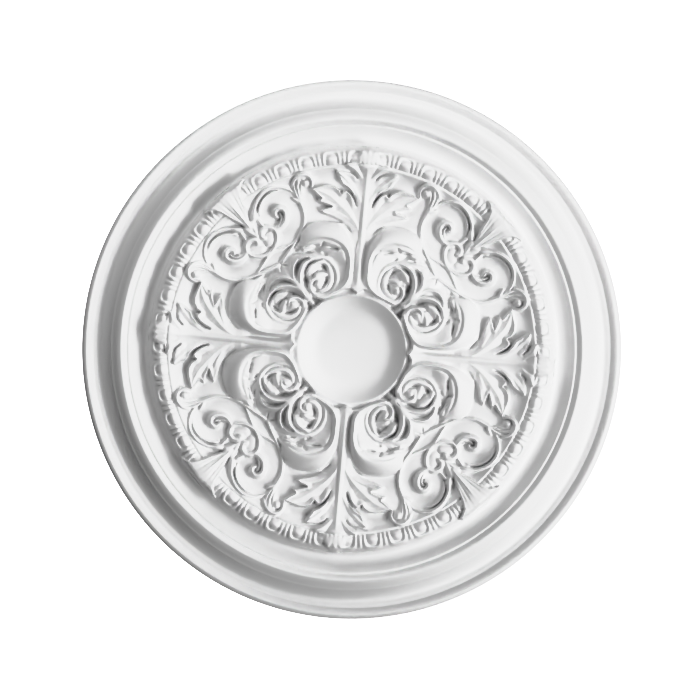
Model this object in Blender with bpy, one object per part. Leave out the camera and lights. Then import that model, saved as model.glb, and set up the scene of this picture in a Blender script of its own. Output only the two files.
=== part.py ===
"""Ceiling rose, cast in one piece and hung face down.

The flat back lies at z = 0 and the carved face looks down (-Z). The leaves lie along X and Y.
The turned mouldings are spun from a profile. The carving inside them is drawn for one eighth of
the circle, in drawing units, and mirrored round. Heights are measured down from the back.
"""
import math

import bmesh
import bpy
import numpy as np
from mathutils import Vector
from mathutils.geometry import delaunay_2d_cdt

# Widths of the turned mouldings, from the edge inwards
DIAMETER = 0.700
RIM_WIDTH = 0.0165
TROUGH_WIDTH = 0.006
CAVETTO_WIDTH = 0.0165
OVOLO_WIDTH = 0.021
SCOTIA_WIDTH = 0.026

# Heights of the turned mouldings over the back
EDGE_HEIGHT = 0.0126
RIM_HEIGHT = 0.0176
TROUGH_HEIGHT = 0.0128
CAVETTO_HEIGHT = 0.0289
OVOLO_HEIGHT = 0.0375
QUIRK_HEIGHT = 0.0312
SCOTIA_HEIGHT = 0.0226
BAND_FOOT_HEIGHT = 0.0308

# The medallion inside them
FIELD_HEIGHT = 0.026
CARVING_HEIGHT = 0.0195
COVE_RISE = 0.0147
BOSS_RADIUS = 0.070
BOSS_FLOOR_HEIGHT = 0.0175
BOSS_RIM_HEIGHT = 0.036
EGG_COUNT = 48

COLUMNS = 72
BOSS_COLUMNS = 48
OCTANT_TRIANGLES = 812
GRID = 1.3
LINE_TOLERANCE = 0.5
SOFTNESS = 1.3
WHITE_PAINT = (0.82, 0.82, 0.81, 1.0)

# The dish's curve: distance in from its rim, in drawing units, and share of its rise
DISH_CURVE = [(28, 0), (20, 0.07), (12, 0.36), (4, 0.81), (0, 1)]

# The carving is drawn for a band of this outer radius and for this height of the cups
DRAWN_RADIUS = 260.5
DRAWN_HEIGHT = 19.6
COVE_START = 198
BAND_START = 240.6
BAND_CREST = 248.5
BAND_RISE = 2.4
BAND_FALL = 9.5
EGG_HALF_WIDTH = 8.6
EGG_RISE = 5.1
DART_HALF_WIDTH = 4.6
DART_RISE = 3.6
LIFT_LIMIT = 17.5
MOULDINGS_WIDTH = RIM_WIDTH + TROUGH_WIDTH + CAVETTO_WIDTH + OVOLO_WIDTH + SCOTIA_WIDTH
BAND_FOOT_RADIUS = DIAMETER / 2 - MOULDINGS_WIDTH
UNIT = BAND_FOOT_RADIUS / (DRAWN_RADIUS + 3.5)
HEIGHT_UNIT = CARVING_HEIGHT / DRAWN_HEIGHT


def smooth_line(rows, steps=6):
    """A Catmull-Rom curve through the rows, each column alike."""
    p = np.array(rows, float)
    q = np.vstack([2 * p[0] - p[1], p, 2 * p[-1] - p[-2]])
    out = []
    for i in range(1, len(q) - 2):
        for t in np.arange(steps) / steps:
            straight = q[i] * (2 - 5 * t**2 + 3 * t**3) + q[i + 1] * (t + 4 * t**2 - 3 * t**3)
            out.append(0.5 * (straight + q[i - 1] * (2 * t**2 - t - t**3) + q[i + 2] * (t**3 - t**2)))
    out.append(p[-1])
    return np.array(out)


def nearest_on(x, y, line):
    """Distance to a line, its side (+ on the left of its run) and the line's own columns there."""
    best = np.full(x.shape, np.inf)
    side = np.zeros(x.shape)
    columns = np.zeros((line.shape[1] - 2,) + x.shape)
    for a, b in zip(line[:-1], line[1:]):
        dx, dy = b[:2] - a[:2]
        t = np.clip(((x - a[0]) * dx + (y - a[1]) * dy) / (dx * dx + dy * dy + 1e-12), 0, 1)
        ex = x - a[0] - t * dx
        ey = y - a[1] - t * dy
        closer = ex * ex + ey * ey < best
        best[closer] = (ex * ex + ey * ey)[closer]
        side[closer] = np.sign(dx * ey - dy * ex)[closer]
        for k in range(len(columns)):
            columns[k][closer] = (a[k + 2] + t * (b[k + 2] - a[k + 2]))[closer]
    return np.sqrt(best), side, columns


def stroke(height, x, y, rows, ground=0.0, left=0.6, right=None, way="raise"):
    """Carve one stroke into a height field.

    Rows are x, y, half width, rise, or x, y, left width, right width, rise. The flanks are round
    under 1, straight at 1 and hollow above it.
    """
    rows = [r if len(r) == 5 else (r[0], r[1], r[2], r[2], r[3]) for r in rows]
    line = smooth_line(rows)
    reach = line[:, 2:4].max() + 1
    low = line[:, :2].min(axis=0) - reach
    high = line[:, :2].max(axis=0) + reach
    near = (x > low[0]) & (x < high[0]) & (y > low[1]) & (y < high[1])
    distance, side, (width_left, width_right, rise) = nearest_on(x[near], y[near], line)
    width = np.where(side > 0, width_left, width_right)
    power = np.where(side > 0, left, left if right is None else right)
    t = np.clip(1 - distance / np.maximum(width, 1e-3), 0, 1)
    form = np.where(power < 1, (1 - (1 - t) ** 2) ** power, t**power)
    ground = np.broadcast_to(ground, x.shape)[near]
    old = height[near]
    if way == "raise":
        new = np.where(t > 0, np.maximum(old, ground + rise * form), old)
    elif way == "add":
        new = old + rise * form
    else:
        new = old - rise * form
    height = height.copy()
    height[near] = new
    return height


def inside(x, y, outline):
    """Distance to a closed outline, + inside it."""
    ring = np.array(list(outline) + [outline[0]], float)
    distance = nearest_on(x, y, ring)[0]
    within = np.zeros(x.shape, bool)
    for a, b in zip(ring[:-1], ring[1:]):
        if a[1] != b[1]:
            crossing = a[0] + (y - a[1]) * (b[0] - a[0]) / (b[1] - a[1])
            within ^= ((a[1] > y) != (b[1] > y)) & (x < crossing)
    return np.where(within, distance, -distance)


def oval(x, y, cx, cy, rx, ry, turn):
    """0 at an oval's centre, 1 on its edge."""
    c = math.cos(math.radians(turn))
    s = math.sin(math.radians(turn))
    return np.hypot(((x - cx) * c + (y - cy) * s) / rx, ((y - cy) * c - (x - cx) * s) / ry)


def ease(t):
    t = np.clip(t, 0, 1)
    return t * t * (3 - 2 * t)


def ground_profile():
    """Radius and height of the plain medallion, from the centre to the foot of its band."""
    boss = BOSS_RADIUS / UNIT
    floor = (BOSS_FLOOR_HEIGHT - FIELD_HEIGHT) / HEIGHT_UNIT
    rim = (BOSS_RIM_HEIGHT - FIELD_HEIGHT) / HEIGHT_UNIT
    cove = COVE_RISE / HEIGHT_UNIT
    dish = [(0, floor)] + [(boss - back, floor + share * (rim - floor)) for back, share in DISH_CURVE]
    shoulder = [(boss + 2, rim - 0.4), (boss + 6, 0.7 * rim), (boss + 14, 0.3 * rim), (boss + 30, 0)]
    run = BAND_START - 3.6 - COVE_START
    curve = [(COVE_START + run * t, cove * t**2.5) for t in np.linspace(0, 1, 8)]
    return np.array(dish + shoulder + curve + [(BAND_START, cove)])


def band_height(r):
    """The band's plain ground, a round that rises to its crest and falls outwards."""
    rise = BAND_RISE * np.sin(math.pi / 2 * np.clip((r - BAND_START) / (BAND_CREST - BAND_START), 0, 1))
    fall = BAND_FALL * (np.clip(r - BAND_CREST, 0, None) / (DRAWN_RADIUS - BAND_CREST)) ** 1.4
    return COVE_RISE / HEIGHT_UNIT + rise - fall


def egg_band(r, angle):
    """Egg-and-dart on the band; angle in degrees from a leaf's axis, where a dart lies."""
    turns = (angle * EGG_COUNT / 360) % 1
    from_dart = np.abs(turns - np.round(turns)) * math.tau * r / EGG_COUNT
    from_egg = math.pi * r / EGG_COUNT - from_dart
    t = np.clip((r - BAND_START) / (DRAWN_RADIUS - BAND_START), 0, 1)
    end = np.clip(t - 0.4, 0, None)
    egg = EGG_RISE * np.clip(1 - (from_egg / EGG_HALF_WIDTH) ** 4 - (end / 0.6) ** 2, 0, 1) ** 0.6
    dart = DART_RISE * np.clip(1 - from_dart / DART_HALF_WIDTH, 0, 1) * np.clip((0.96 - t) / 0.15, 0, 1)
    return band_height(r) + np.maximum(egg, dart)


LEAF_OUTLINE = [
    (0, 262), (7, 260.5), (12.5, 255), (15, 248), (16.5, 242), (22, 241), (28, 238.5), (19, 229),
    (12.5, 221.5), (18, 226.8), (26, 228.8), (39.5, 229), (35, 218), (31, 211.5), (23.5, 207.5),
    (17, 201.5), (12.5, 193.5), (10.2, 185.5), (14, 193.8), (19, 200.5), (24, 204), (30.5, 200),
    (34, 204.8), (41, 208.6), (50, 209), (60, 206), (71, 202.3), (56.5, 191.3), (60.5, 187), (42.2, 182),
    (57.5, 174.8), (50, 171.2), (40, 169), (29.5, 164.3), (21.5, 157.5), (12.5, 142.5), (17.5, 151.5),
    (26, 159.4), (37, 163), (50, 162.5), (62, 159.8), (72, 154.5), (78.5, 145), (79.5, 134), (86, 124),
    (96, 112), (104, 104), (84, 80), (62, 62), (56, 59), (47, 62), (38, 66), (27, 70.5), (17, 76),
    (8.3, 77.6), (0, 73)]
CUP_RIM = [
    (79, 136, 7, 3, 9), (73, 145, 10, 7, 12), (62, 151, 14, 9, 14), (48, 153.5, 16, 10, 15),
    (34, 151, 18, 10, 15.6), (22, 143.5, 19, 9, 16.5), (14.8, 131, 20, 7, 17.5), (12, 115, 20, 7, 18.6),
    (11.8, 100, 19, 7, 19.6), (14, 88, 18, 8, 19.6), (20, 79.5, 15, 9, 18), (29, 72.5, 12, 8, 15.6),
    (38, 67.2, 9, 6, 13), (47, 63.6, 7, 4, 11)]


def leaf(x, y, lift):
    """The acanthus leaf on the axis, with its lobes, its stem and its curled tip."""
    body = np.interp(y, [60, 80, 100, 125, 150, 190, 245, 262], [9, 12, 10, 8, 6.5, 6, 6, 4]) + lift
    lobe_ribs = [
        [(3, 146, 9, 12, 8.5), (9, 159, 10, 15, 9), (31, 184, 14, 18, 10), (45, 195, 14, 16, 10.5),
         (58, 200.5, 9, 13, 10.2), (69, 202, 4, 7, 9)],
        [(27, 179, 5, 7, 8.5), (40, 184.5, 6, 7, 9), (52, 188, 5, 6, 9.5), (59, 187.5, 3, 4, 8.8)],
        [(17, 167, 5, 8, 8), (30, 172.5, 7, 9, 8), (44, 175.5, 6, 7, 8.3), (55, 175.2, 3, 4, 7.8)],
        [(2, 180, 6, 9, 8), (16, 208, 10, 12, 9.2), (27, 218.5, 10, 10, 9.6), (38, 227.5, 5, 6, 9)],
        [(2, 214, 6, 8, 8), (8, 224, 8, 8, 9), (16, 232, 8, 7, 9.5), (26, 238, 5, 5, 9)]]
    for rib in lobe_ribs:
        body = stroke(body, x, y, rib, lift, left=1)
    stem = [(0, 76, 8, 11), (0, 84, 6.5, 13), (0, 100, 4.8, 13.5), (0, 130, 3.9, 12), (0, 160, 3.5, 10.6),
            (0, 232, 4, 10)]
    curled_tip = [(0, 236, 13, 10), (0, 244, 14, 8), (0, 251, 13, 7.5), (0, 259, 9, 8.5)]
    body = stroke(body, x, y, stem, lift, left=0.3)
    return stroke(body, x, y, curled_tip, lift)


def cup_and_volute(body, x, y):
    """The leaf's lowest lobe, turned over into a cup, with a volute standing in it."""
    bowl = inside(x, y, [row[:2] for row in CUP_RIM] + [(62, 66), (74, 88), (80, 108), (90, 112)])
    body = np.where(bowl > 0, body - (body - 7.5) * ease(bowl / 9), body)
    body = stroke(body, x, y, CUP_RIM, 0, left=1.45, right=0.7)
    moat = oval(x, y, 47.6, 89, 25.5, 28, 6)
    slope = body - (body - 4.6) * 0.75 * (1 - ease(4 * moat - 4))
    body = np.where(moat < 1, 4.6, np.where(moat < 1.25, slope, body))
    cone = 6 + 9.5 * np.clip(1 - oval(x, y, 49.5, 87, 23, 26.5, 6), 0, 1) ** 0.9
    body = np.where(moat < 0.95, np.maximum(body, cone), body)
    rings = [
        [(51, 114.5, 2.2, 3.5), (40, 112, 2.6, 3.6), (31, 103.5, 2.8, 3.6), (27.2, 93, 2.8, 3.6),
         (27.4, 83, 2.8, 3.8), (31.5, 74, 2.8, 4), (38.5, 67.4, 2.8, 4), (47, 64.6, 2.8, 3.6)],
        [(47, 108.5, 2.2, 1.5), (39.5, 104, 2.8, 3), (34.4, 96, 3, 3.2), (33.2, 87, 3, 3.2),
         (35.6, 78, 2.8, 3), (41.5, 71, 2.8, 2.6), (49, 68.4, 2.6, 2)]]
    for ring in rings:
        body = stroke(body, x, y, ring, way="add")
    body = stroke(body, x, y, [(49, 109, 4, 13), (54, 104, 8.5, 16), (55, 97, 9.5, 16), (53, 91, 7, 15)])
    body = stroke(body, x, y, [(48, 88.5, 1.6, 1.5), (54, 89.5, 2, 3), (60.5, 88, 3, 6), (65.5, 82, 3.8, 8),
                               (64.5, 75, 3.8, 7), (60.5, 69.5, 2.6, 4)], way="cut")
    return stroke(body, x, y, [(52, 82, 7, 17.6), (52.2, 80.5, 7, 17.6)], left=0.5)


def calyx_and_foliage(body, x, y):
    """The shoulders between the volutes and the three leaves that fall from them into the cup."""
    body = stroke(body, x, y, [(56, 109.5, 4, 14), (64, 106, 6, 16.5), (69.6, 99, 6, 18), (71.6, 90, 6.5, 19),
                               (71, 80, 8, 18.5), (67.5, 71, 7, 16.5), (63, 65, 5, 14)])
    body = stroke(body, x, y, [(60, 60, 7, 13), (68, 68, 10, 16), (80, 80, 16, 18.5), (90, 90, 17, 17),
                               (98, 99, 13, 14), (104, 104, 6, 10)])
    body = stroke(body, x, y, [(66, 111.5, 2, 7), (73, 107, 3.8, 11), (76.6, 99, 4, 12), (75.8, 91.5, 2.8, 9),
                               (73.6, 86, 1.2, 3)], way="cut")
    sprays = [
        [(99, 107, 5, 13), (88, 111.5, 6, 13), (76, 116.5, 6.5, 12.5), (62, 116, 7, 12), (49, 118, 5, 10)],
        [(97, 109, 4, 13), (85, 117.5, 5.5, 13), (72, 124, 6.5, 12.8), (58, 128, 6.5, 12.4),
         (44, 132, 5, 11.6), (30, 134.6, 2.5, 10)],
        [(90, 117, 4, 12), (80, 128, 5.5, 12), (69, 136, 6, 12.4), (59, 141.5, 5, 12.4),
         (46, 143.4, 3, 11.5)]]
    for spray in sprays:
        body = stroke(body, x, y, spray, 0)
    for hole in [(51, 137, 3.6, 5.6, 35, 7), (62, 136, 2.6, 3.4, 20, 5), (81.5, 122.8, 2, 4.6, 60, 6)]:
        body = body - hole[5] * np.clip(1 - oval(x, y, *hole[:5]) ** 2, 0, 1)
    return body


def drilled_eyes(height, x, y):
    """The drilled valleys where one lobe of the leaf overlaps the next."""
    eyes = [
        [(12.8, 141.5, 1.5, 2), (15.5, 149, 2.8, 4), (22, 157, 2.8, 4), (31, 163.2, 2.4, 3),
         (42, 165.5, 2, 1.5)],
        [(10.2, 185.5, 1.3, 2.5), (13.5, 194, 2.2, 4), (19.5, 202, 2.4, 4), (25.5, 205.5, 1.2, 1)]]
    for eye in eyes:
        height = stroke(height, x, y, eye, way="cut")
    return height


def pocket(height, x, y):
    """The pocket between boss and volutes, with its small leaf and the bead over it."""
    hollow = inside(x, y, [(41, 60.5), (50, 62.5), (60, 66), (66, 60), (62.5, 50), (60.5, 41), (50.5, 50.5)])
    height = np.where(hollow > 0, height - (height - 0.5) * ease(hollow / 2.5), height)
    height = stroke(height, x, y, [(49.5, 49.5, 3, 8), (54, 54, 3.8, 9.5), (60, 60, 3, 10)])
    return stroke(height, x, y, [(62.5, 62.5, 6.2, 16), (64, 64, 6.2, 16)], left=0.5)


def scrolls(height, x, y, ground):
    """The S stem, the cross ridge, the heart's curl, the spiral, its eye and the knot."""
    ridges = [
        [(99, 107, 2.4, 9), (93, 117.5, 2.4, 7), (87, 128, 2.3, 5.2), (82, 138.5, 2.4, 4.6),
         (78, 149, 2.6, 4.6), (76.2, 160, 2.8, 4.8), (77.5, 170, 3, 5), (82, 179.5, 3.4, 5.4),
         (87.5, 188, 4.4, 5.8), (91, 198, 5.4, 6.2), (90.8, 207, 5.6, 6.2), (87, 214.5, 4.8, 6),
         (81, 218, 4, 5.8), (75.5, 217, 4.6, 6.6), (73.6, 212, 5.8, 7.4), (75, 207.5, 4.2, 6.4)],
        [(87, 130, 1.8, 3.4), (95, 125.5, 1.8, 3), (104, 121.5, 2, 3.4), (115.5, 115.5, 2.4, 5)],
        [(115.5, 115, 2.6, 5.2), (111.5, 124, 2.4, 5.4), (109.6, 133, 2.2, 5.2), (112, 142, 2.3, 5.4),
         (118.5, 147.5, 2.6, 5.8), (125.5, 147, 3.2, 6.4), (130.3, 141.5, 3.8, 7), (126, 134, 3.6, 7.4)],
        [(119.5, 129, 8, 3), (120, 137, 8, 3)],
        [(86, 188.5, 1.6, 2), (94.5, 196, 1.8, 2.6), (107, 200.5, 2, 3), (119.5, 198.8, 2.2, 3.8),
         (130.5, 191.5, 2.8, 5), (137.2, 180.5, 3.2, 6.2), (139.5, 168, 3.4, 7), (139.5, 158, 3.6, 7.4)],
        [(121, 192, 2, 2.8), (129.6, 184.5, 2.6, 4.2), (132.8, 174, 2.6, 5), (131.5, 163, 2.4, 4.6)],
        [(111.5, 143.5, 3, 4, 5.6), (104.5, 151, 4.5, 6.5, 8), (100.9, 160, 4.5, 8.5, 9.4),
         (101.6, 169, 4.5, 8.5, 10), (106, 174.4, 4.5, 6.5, 10.2), (111, 173.2, 4, 6, 9.6),
         (113.5, 167.5, 3.4, 5, 8.2), (112.8, 160, 2.4, 3, 5.6)],
        [(112, 146, 2, 4.6), (120.5, 146.5, 2, 4.4), (129, 150, 2.2, 4.8), (136, 156, 2.6, 5.4)],
        [(140.2, 168, 3.2, 6.6), (140.6, 162, 4.8, 8.6), (141.5, 155, 4.4, 8.2)],
        [(147, 147, 7.6, 10), (146, 146, 7.6, 10)],
        [(141, 152.5, 4.6, 8.2), (137.5, 144.5, 4.8, 8.2), (133, 134, 2.8, 6.4)]]
    for ridge in ridges:
        height = stroke(height, x, y, ridge, ground)
    slits = [[(80.4, 215, 1.6, 3), (81, 210, 2.2, 5), (79, 206, 1.4, 2.5)],
             [(110, 152.5, 2.2, 2), (106.6, 160, 3, 5), (107.6, 167.5, 2.6, 4.8)]]
    for slit in slits:
        height = stroke(height, x, y, slit, way="cut")
    return height


def fan(height, x, y):
    """The fluted fan on the diagonal, laid over the band."""
    along = (x + y - 292) / math.sqrt(2)
    across = (y - x) / math.sqrt(2)
    outline = [(145, 150), (147.5, 160), (151.5, 171), (157.5, 180.5), (162, 188), (164.2, 196), (162, 203),
               (167, 200.5), (175, 194.5), (180, 189), (184.5, 184.5), (150, 145)]
    within = inside(x, y, outline)
    flutes = 1.3 * np.cos(np.arctan2(across, np.maximum(along + 16, 1)) * 360 / 8.5) * ease(along / 14)
    fall = 14 * np.clip((np.hypot(x, y) - 252) / 10, 0, 1) ** 2
    surface = 8.5 + 16 * np.clip(along / 45, 0, 1) ** 1.3 + flutes - fall
    return np.where(within > 0, height + (np.maximum(surface, height) - height) * ease(within / 2.6), height)


def medallion(x, y):
    """Height over the back, in metres, at a point given in drawing units."""
    r = np.hypot(x, y)
    u = np.minimum(np.abs(x), np.abs(y))
    v = np.maximum(np.abs(x), np.abs(y))
    profile = ground_profile()
    height = np.interp(r, profile[:, 0], profile[:, 1])
    band = egg_band(r, np.degrees(np.arctan2(u, v)))
    height = height + (band - height) * ease(r - BAND_START)
    ground = height.copy()
    lift = np.clip(ground, 0, LIFT_LIMIT)
    body = leaf(u, v, lift)
    body = cup_and_volute(body, u, v)
    body = calyx_and_foliage(body, u, v)
    edge = inside(u, v, LEAF_OUTLINE)
    laid = height + (np.maximum(body, height) - height) * ease((edge + 0.6) / 2.4)
    height = np.where(edge > -0.6, laid, height)
    height = drilled_eyes(height, u, v)
    height = pocket(height, u, v)
    height = scrolls(height, u, v, ground)
    height = fan(height, u, v)
    return FIELD_HEIGHT + height * HEIGHT_UNIT


class SoftRelief:
    """The medallion's heights on a grid, softened as a cast is, and read between grid points."""

    def __init__(self, reach, step=1.0):
        self.step = step
        self.low = -8 * step
        axis = np.arange(self.low, reach + 8 * step, step)
        x, y = np.meshgrid(axis, axis, indexing="ij")
        grid = medallion(x, y)
        offsets = np.arange(-4, 5)
        kernel = np.exp(-0.5 * (offsets * step / SOFTNESS) ** 2)
        kernel /= kernel.sum()
        for _ in range(2):
            grid = sum(k * np.roll(grid, o, axis=0) for k, o in zip(kernel, offsets)).T
        self.grid = grid

    def at(self, x, y):
        i = (np.asarray(x, float) - self.low) / self.step
        j = (np.asarray(y, float) - self.low) / self.step
        i0 = np.floor(i).astype(int)
        j0 = np.floor(j).astype(int)
        s = i - i0
        t = j - j0
        g = self.grid
        return ((g[i0, j0] * (1 - s) + g[i0 + 1, j0] * s) * (1 - t)
                + (g[i0, j0 + 1] * (1 - s) + g[i0 + 1, j0 + 1] * s) * t)


def arc_points(radius, count, start, stop):
    return [(radius * math.sin(a), radius * math.cos(a)) for a in np.linspace(start, stop, count + 1)]


def thinned(relief, points, tolerance):
    """The points of a dense line that its height needs, ends included."""
    line = np.array([(math.hypot(x, y), relief.at(x, y) / UNIT) for x, y in points])
    keep = {0, len(points) - 1}
    spans = [(0, len(points) - 1)]
    while spans:
        a, b = spans.pop()
        if b - a < 2:
            continue
        run = line[b] - line[a]
        offset = line[a + 1:b] - line[a]
        gap = np.abs(run[0] * offset[:, 1] - run[1] * offset[:, 0]) / np.hypot(*run)
        k = int(np.argmax(gap))
        if gap[k] > tolerance:
            keep.add(a + 1 + k)
            spans += [(a, a + 1 + k), (a + 1 + k, b)]
    return [points[k] for k in sorted(keep)]


def over_band(x, y):
    """True where a leaf's tip or the fan lies over the band."""
    r = np.hypot(x, y)
    plain = egg_band(r, np.degrees(np.arctan2(np.minimum(x, y), np.maximum(x, y))))
    return np.abs((medallion(x, y) - FIELD_HEIGHT) / HEIGHT_UNIT - plain) > 0.3


def egg_and_dart_points():
    """Points and edges that draw each whole egg and dart of the octant with few facets."""
    points = []
    edges = []
    pitch = math.tau / EGG_COUNT
    top = BAND_START + 0.9
    egg = [(top, -1), (BAND_CREST, -1), (256, -0.8), (DRAWN_RADIUS, 0), (256, 0.8), (BAND_CREST, 1), (top, 1),
           (top + 0.6, -0.6), (BAND_CREST, -0.6), (256.5, 0), (BAND_CREST, 0.6), (top + 0.6, 0.6)]
    dart = [(top, 0), (BAND_CREST, 0), (DRAWN_RADIUS - 1.5, 0)]
    egg_lines = [(i, i + 1) for i in range(len(egg) - 1) if i != 6]
    forms = [(EGG_HALF_WIDTH, egg, egg_lines, (k + 0.5) * pitch) for k in range(EGG_COUNT // 8)]
    forms += [(DART_HALF_WIDTH, dart, [(0, 1), (1, 2)], k * pitch) for k in range(1, EGG_COUNT // 8)]
    for half_width, form, pairs, turn in forms:
        angles = [turn + across * half_width / r for r, across in form]
        made = [(r * math.sin(a), r * math.cos(a)) for (r, _), a in zip(form, angles)]
        if over_band(*np.array(made).T).any():
            continue
        edges += [(len(points) + i, len(points) + j) for i, j in pairs]
        points += made
    return points, edges


def dense_octant(relief, inner, outer):
    """A fine triangle mesh of one eighth of the medallion; its outline and its eggs come first."""
    count = int((outer - inner) / GRID)
    axis = thinned(relief, [(0.0, r) for r in np.linspace(inner, outer, count)], LINE_TOLERANCE)
    mitre = [(r, r) for r in np.linspace(outer, inner, count) / math.sqrt(2)]
    diagonal = thinned(relief, mitre, LINE_TOLERANCE)
    loop = axis + arc_points(outer, COLUMNS // 8, 0, math.pi / 4)[1:-1]
    loop += diagonal + arc_points(inner, BOSS_COLUMNS // 8, math.pi / 4, 0)[1:-1]
    eggs, egg_edges = egg_and_dart_points()
    x, y = np.meshgrid(np.arange(GRID, outer, GRID), np.arange(GRID, outer, GRID), indexing="ij")
    r = np.hypot(x, y)
    margin = 0.8 * GRID
    within = (x > margin) & (y - x > 1.4 * margin) & (r > inner + margin) & (r < outer - margin)
    within &= (r < BAND_START - margin) | over_band(x, y)
    kept = len(loop) + len(eggs)
    coords = [Vector(p) for p in loop + eggs + list(zip(x[within], y[within]))]
    edges = [(i, (i + 1) % len(loop)) for i in range(len(loop))]
    edges += [(len(loop) + i, len(loop) + j) for i, j in egg_edges]
    verts, _, faces, *_ = delaunay_2d_cdt(coords, edges, [], 1, 1e-5)
    return [(v[0], v[1], float(relief.at(v[0], v[1]))) for v in verts], faces, kept


def octant_mesh(inner, outer):
    """The fine octant, reduced to the triangles that its carving needs."""
    relief = SoftRelief(outer)
    verts, faces, kept = dense_octant(relief, inner, outer)
    mesh = bpy.data.meshes.new("octant")
    mesh.from_pydata([(x * UNIT, y * UNIT, -h) for x, y, h in verts], [], faces)
    octant = bpy.data.objects.new("octant", mesh)
    bpy.context.collection.objects.link(octant)
    octant.vertex_groups.new(name="free").add(list(range(kept, len(verts))), 1.0, "REPLACE")
    reduce = octant.modifiers.new("reduce", "DECIMATE")
    reduce.ratio = OCTANT_TRIANGLES / len(faces)
    reduce.vertex_group = "free"
    reduce.vertex_group_factor = 1.0
    evaluated = octant.evaluated_get(bpy.context.evaluated_depsgraph_get())
    reduced = bpy.data.meshes.new_from_object(evaluated)
    bpy.data.objects.remove(octant)
    return reduced


def add_medallion(bm, inner, outer, inner_height, outer_height):
    """Mirror the octant round; its outer and inner arcs take the heights of the rings they meet."""
    octant = octant_mesh(inner, outer)
    places = []
    for vert in octant.vertices:
        x, y, z = vert.co
        r = math.hypot(x, y) / UNIT
        if r < inner + 0.01:
            z = -inner_height
        elif r > outer - 0.01:
            z = -outer_height
        places.append((x, y, z))
    for sx in (1, -1):
        for sy in (1, -1):
            for swap in (False, True):
                turned = [(y, x, z) if swap else (x, y, z) for x, y, z in places]
                made = [bm.verts.new((sx * x, sy * y, z)) for x, y, z in turned]
                for face in octant.polygons:
                    bm.faces.new([made[i] for i in face.vertices])


def turned_profile():
    """Radius and height of the turned mouldings, from the band's foot to the edge at the back."""
    edge = DIAMETER / 2
    rim = edge - RIM_WIDTH
    trough = rim - TROUGH_WIDTH
    cavetto = trough - CAVETTO_WIDTH
    ovolo = cavetto - OVOLO_WIDTH
    foot = BAND_FOOT_RADIUS
    points = []
    for t in (-1, -0.5, 0, 0.35, 0.7, 1):
        side, width = (BAND_FOOT_HEIGHT, 0.4) if t < 0 else (QUIRK_HEIGHT, 0.6)
        height = SCOTIA_HEIGHT + (side - SCOTIA_HEIGHT) * abs(t) ** 1.7
        points.append((foot + SCOTIA_WIDTH * (0.4 + width * t), height))
    for t, rise in ((0.06, 0), (0.28, 0.8), (0.43, 1)):
        points.append((ovolo + OVOLO_WIDTH * t, QUIRK_HEIGHT + (OVOLO_HEIGHT - QUIRK_HEIGHT) * rise))
    for t, fall in ((0.61, 0.18), (0.8, 0.56), (1, 1)):
        points.append((ovolo + OVOLO_WIDTH * t, OVOLO_HEIGHT - (OVOLO_HEIGHT - CAVETTO_HEIGHT) * fall))
    for t, fall in ((0.5, 0.47), (0.78, 0.83), (1, 1)):
        height = CAVETTO_HEIGHT - (CAVETTO_HEIGHT - TROUGH_HEIGHT) * fall
        points.append((cavetto + CAVETTO_WIDTH * t, height))
    points.append((rim + 0.1 * RIM_WIDTH, TROUGH_HEIGHT))
    for t, rise in ((0.3, 0.65), (0.63, 1), (0.88, 0.6)):
        height = EDGE_HEIGHT + (RIM_HEIGHT - EDGE_HEIGHT) * rise
        points.append((rim + RIM_WIDTH * t, height))
    points.append((edge, EDGE_HEIGHT))
    points.append((edge, 0))
    return points


def spin_rings(bm, profile, columns):
    """Turn a profile of radius and height round Z; the first vertex lies on +X."""
    line = [bm.verts.new((r, 0, -h)) for r, h in profile]
    edges = [bm.edges.new(pair) for pair in zip(line[:-1], line[1:])]
    bmesh.ops.spin(bm, geom=line + edges, cent=(0, 0, 0), axis=(0, 0, 1), angle=math.tau, steps=columns,
                   use_merge=True)


def boss_profile(inner):
    """The plain dish at the centre, from its flat floor to where the carving starts."""
    rise = BOSS_RIM_HEIGHT - BOSS_FLOOR_HEIGHT
    dish = [(BOSS_RADIUS - back * UNIT, BOSS_FLOOR_HEIGHT + share * rise) for back, share in DISH_CURVE]
    return dish + [(inner, BOSS_RIM_HEIGHT - 0.4 * HEIGHT_UNIT)]


def paint(name, colour):
    material = bpy.data.materials.new(name)
    material.use_nodes = True
    shader = material.node_tree.nodes["Principled BSDF"]
    shader.inputs["Base Color"].default_value = colour
    shader.inputs["Roughness"].default_value = 0.5
    shader.inputs["Metallic"].default_value = 0.0
    return material


def build_rose():
    inner = BOSS_RADIUS / UNIT + 2
    outer = BAND_FOOT_RADIUS / UNIT
    boss = boss_profile(inner * UNIT)
    turned = turned_profile()
    bm = bmesh.new()
    add_medallion(bm, inner, outer, boss[-1][1], turned[0][1])
    spin_rings(bm, boss, BOSS_COLUMNS)
    spin_rings(bm, turned, COLUMNS)
    bmesh.ops.remove_doubles(bm, verts=bm.verts, dist=0.00002)
    bmesh.ops.holes_fill(bm, edges=[e for e in bm.edges if e.is_boundary], sides=0)
    bmesh.ops.triangulate(bm, faces=bm.faces)
    bmesh.ops.recalc_face_normals(bm, faces=bm.faces)
    mesh = bpy.data.meshes.new("ceiling_rose")
    bm.to_mesh(mesh)
    bm.free()
    mesh.shade_smooth()
    mesh.set_sharp_from_angle(angle=math.radians(35))
    mesh.materials.append(paint("white_paint", WHITE_PAINT))
    rose = bpy.data.objects.new("ceiling_rose", mesh)
    bpy.context.collection.objects.link(rose)


for old in list(bpy.data.objects):
    bpy.data.objects.remove(old)
build_rose()
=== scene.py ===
import math

import bpy
import numpy as np
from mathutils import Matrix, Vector
from mathutils.geometry import delaunay_2d_cdt


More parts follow.
